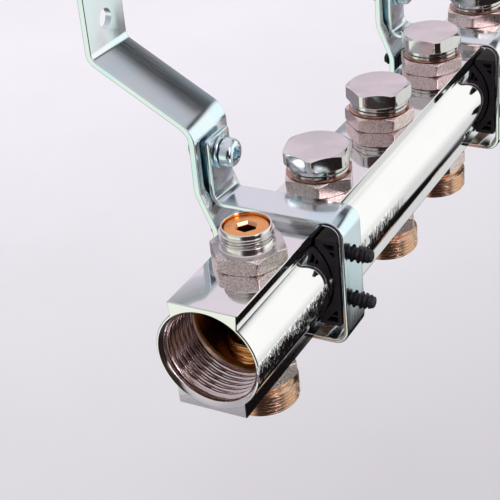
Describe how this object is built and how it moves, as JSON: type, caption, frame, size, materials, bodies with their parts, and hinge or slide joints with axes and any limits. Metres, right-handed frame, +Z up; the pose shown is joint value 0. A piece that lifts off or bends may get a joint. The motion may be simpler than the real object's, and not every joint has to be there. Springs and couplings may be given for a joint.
{
  "type": "underfloor heating manifold",
  "caption": "Nickel-plated manifold bar with capped lockshield valves above, threaded circuit outlets below and cranked wall brackets with rubber-lined clamps.",
  "frame": {"origin": "back face of the near bracket's foot, in the middle between its two screw holes", "axes": "+X along the bar away from its near end, +Y into the wall, +Z up; the room is on the -Y side"},
  "size_m": [0.26, 0.0902, 0.1515],
  "materials": {
    "bar_nickel": "polished nickel plate on brass",
    "hex_nickel": "bead-blasted nickel plate, warm grey, with turned edges",
    "cap_chrome": "fine turned nickel plate",
    "spindle_brass": "turned brass",
    "collar_brass": "dark polished brass",
    "outlet_brass": "brass thread under a worn nickel plate",
    "zinc_steel": "bright zinc plate on pressed steel",
    "rubber": "matt black"
  },
  "bodies": {
    "bar_and_arms": {"manifold_bar": "bar_nickel", "valve_insert_0": "hex_nickel", "insert_seal_0": "rubber", "outlet_nipple_0": "outlet_brass", "outlet_seal_0": "rubber", "valve_insert_1": "hex_nickel", "insert_seal_1": "rubber", "outlet_nipple_1": "outlet_brass", "outlet_seal_1": "rubber", "valve_insert_2": "hex_nickel", "insert_seal_2": "rubber", "outlet_nipple_2": "outlet_brass", "outlet_seal_2": "rubber", "valve_insert_3": "hex_nickel", "insert_seal_3": "rubber", "outlet_nipple_3": "outlet_brass", "outlet_seal_3": "rubber", "valve_insert_4": "hex_nickel", "insert_seal_4": "rubber", "outlet_nipple_4": "outlet_brass", "outlet_seal_4": "rubber", "bracket_arm_near": "zinc_steel", "rear_cheek_near": "rubber", "clamp_nut_near": "zinc_steel", "bracket_arm_far": "zinc_steel", "rear_cheek_far": "rubber", "clamp_nut_far": "zinc_steel"},
    "disc_0": {"valve_disc_0": "rubber"},
    "spindle_0": {"spindle_0": "spindle_brass"},
    "disc_1": {"valve_disc_1": "rubber"},
    "spindle_1": {"spindle_1": "spindle_brass"},
    "collar_1": {"cap_collar_1": "collar_brass"},
    "cap_1": {"cap_1": "cap_chrome"},
    "disc_2": {"valve_disc_2": "rubber"},
    "spindle_2": {"spindle_2": "spindle_brass"},
    "collar_2": {"cap_collar_2": "collar_brass"},
    "cap_2": {"cap_2": "cap_chrome"},
    "disc_3": {"valve_disc_3": "rubber"},
    "spindle_3": {"spindle_3": "spindle_brass"},
    "collar_3": {"cap_collar_3": "collar_brass"},
    "cap_3": {"cap_3": "cap_chrome"},
    "disc_4": {"valve_disc_4": "rubber"},
    "spindle_4": {"spindle_4": "spindle_brass"},
    "collar_4": {"cap_collar_4": "collar_brass"},
    "cap_4": {"cap_4": "cap_chrome"},
    "washer_near": {"clamp_washer_near": "zinc_steel"},
    "screw_near": {"clamp_screw_near": "zinc_steel"},
    "strap_near": {"clamp_strap_near": "zinc_steel", "front_cheek_near": "rubber"},
    "washer_far": {"clamp_washer_far": "zinc_steel"},
    "screw_far": {"clamp_screw_far": "zinc_steel"},
    "strap_far": {"clamp_strap_far": "zinc_steel", "front_cheek_far": "rubber"}
  },
  "joints": [
    {"name": "valve_0_travel", "type": "slide", "parent": "bar_and_arms", "child": "disc_0", "axis": [0, 0, 1], "range_m": [-0.004, 0]},
    {"name": "valve_0_turn", "type": "hinge", "parent": "disc_0", "child": "spindle_0", "pos_m": [-0.0275, -0.062, -0.093], "axis": [0, 0, 1], "range_deg": [-1440, 0]},
    {"name": "valve_1_travel", "type": "slide", "parent": "bar_and_arms", "child": "disc_1", "axis": [0, 0, 1], "range_m": [-0.004, 0]},
    {"name": "valve_1_turn", "type": "hinge", "parent": "disc_1", "child": "spindle_1", "pos_m": [0.0225, -0.062, -0.093], "axis": [0, 0, 1], "range_deg": [-1440, 0]},
    {"name": "cap_1_travel", "type": "slide", "parent": "bar_and_arms", "child": "collar_1", "axis": [0, 0, 1], "range_m": [0, 0.005]},
    {"name": "cap_1_turn", "type": "hinge", "parent": "collar_1", "child": "cap_1", "pos_m": [0.0225, -0.062, -0.093], "axis": [0, 0, 1], "range_deg": [0, 1800]},
    {"name": "valve_2_travel", "type": "slide", "parent": "bar_and_arms", "child": "disc_2", "axis": [0, 0, 1], "range_m": [-0.004, 0]},
    {"name": "valve_2_turn", "type": "hinge", "parent": "disc_2", "child": "spindle_2", "pos_m": [0.0725, -0.062, -0.093], "axis": [0, 0, 1], "range_deg": [-1440, 0]},
    {"name": "cap_2_travel", "type": "slide", "parent": "bar_and_arms", "child": "collar_2", "axis": [0, 0, 1], "range_m": [0, 0.005]},
    {"name": "cap_2_turn", "type": "hinge", "parent": "collar_2", "child": "cap_2", "pos_m": [0.0725, -0.062, -0.093], "axis": [0, 0, 1], "range_deg": [0, 1800]},
    {"name": "valve_3_travel", "type": "slide", "parent": "bar_and_arms", "child": "disc_3", "axis": [0, 0, 1], "range_m": [-0.004, 0]},
    {"name": "valve_3_turn", "type": "hinge", "parent": "disc_3", "child": "spindle_3", "pos_m": [0.1225, -0.062, -0.093], "axis": [0, 0, 1], "range_deg": [-1440, 0]},
    {"name": "cap_3_travel", "type": "slide", "parent": "bar_and_arms", "child": "collar_3", "axis": [0, 0, 1], "range_m": [0, 0.005]},
    {"name": "cap_3_turn", "type": "hinge", "parent": "collar_3", "child": "cap_3", "pos_m": [0.1225, -0.062, -0.093], "axis": [0, 0, 1], "range_deg": [0, 1800]},
    {"name": "valve_4_travel", "type": "slide", "parent": "bar_and_arms", "child": "disc_4", "axis": [0, 0, 1], "range_m": [-0.004, 0]},
    {"name": "valve_4_turn", "type": "hinge", "parent": "disc_4", "child": "spindle_4", "pos_m": [0.1725, -0.062, -0.093], "axis": [0, 0, 1], "range_deg": [-1440, 0]},
    {"name": "cap_4_travel", "type": "slide", "parent": "bar_and_arms", "child": "collar_4", "axis": [0, 0, 1], "range_m": [0, 0.005]},
    {"name": "cap_4_turn", "type": "hinge", "parent": "collar_4", "child": "cap_4", "pos_m": [0.1725, -0.062, -0.093], "axis": [0, 0, 1], "range_deg": [0, 1800]},
    {"name": "clamp_near_travel", "type": "slide", "parent": "bar_and_arms", "child": "washer_near", "axis": [0, -1, 0], "range_m": [0, 0.0024]},
    {"name": "clamp_near_turn", "type": "hinge", "parent": "washer_near", "child": "screw_near", "pos_m": [0, -0.0407, -0.0557], "axis": [0, -1, 0], "range_deg": [0, 1080]},
    {"name": "strap_near_open", "type": "hinge", "parent": "bar_and_arms", "child": "strap_near", "pos_m": [0, -0.0404, -0.113], "axis": [1, 0, 0], "range_deg": [0, 2.2]},
    {"name": "clamp_far_travel", "type": "slide", "parent": "bar_and_arms", "child": "washer_far", "axis": [0, -1, 0], "range_m": [0, 0.0024]},
    {"name": "clamp_far_turn", "type": "hinge", "parent": "washer_far", "child": "screw_far", "pos_m": [0.145, -0.0407, -0.0557], "axis": [0, -1, 0], "range_deg": [0, 1080]},
    {"name": "strap_far_open", "type": "hinge", "parent": "bar_and_arms", "child": "strap_far", "pos_m": [0.145, -0.0404, -0.113], "axis": [1, 0, 0], "range_deg": [0, 2.2]}
  ],
  "couplings": [
    {"joint": "valve_0_travel", "follows": "valve_0_turn", "m_per_rad": 0.00015915},
    {"joint": "valve_1_travel", "follows": "valve_1_turn", "m_per_rad": 0.00015915},
    {"joint": "cap_1_travel", "follows": "cap_1_turn", "m_per_rad": 0.00015915},
    {"joint": "valve_2_travel", "follows": "valve_2_turn", "m_per_rad": 0.00015915},
    {"joint": "cap_2_travel", "follows": "cap_2_turn", "m_per_rad": 0.00015915},
    {"joint": "valve_3_travel", "follows": "valve_3_turn", "m_per_rad": 0.00015915},
    {"joint": "cap_3_travel", "follows": "cap_3_turn", "m_per_rad": 0.00015915},
    {"joint": "valve_4_travel", "follows": "valve_4_turn", "m_per_rad": 0.00015915},
    {"joint": "cap_4_travel", "follows": "cap_4_turn", "m_per_rad": 0.00015915},
    {"joint": "clamp_near_travel", "follows": "strap_near_open", "m_per_rad": 0.0625},
    {"joint": "clamp_near_turn", "follows": "strap_near_open", "ratio": 490.9},
    {"joint": "clamp_far_travel", "follows": "strap_far_open", "m_per_rad": 0.0625},
    {"joint": "clamp_far_turn", "follows": "strap_far_open", "ratio": 490.9}
  ]
}
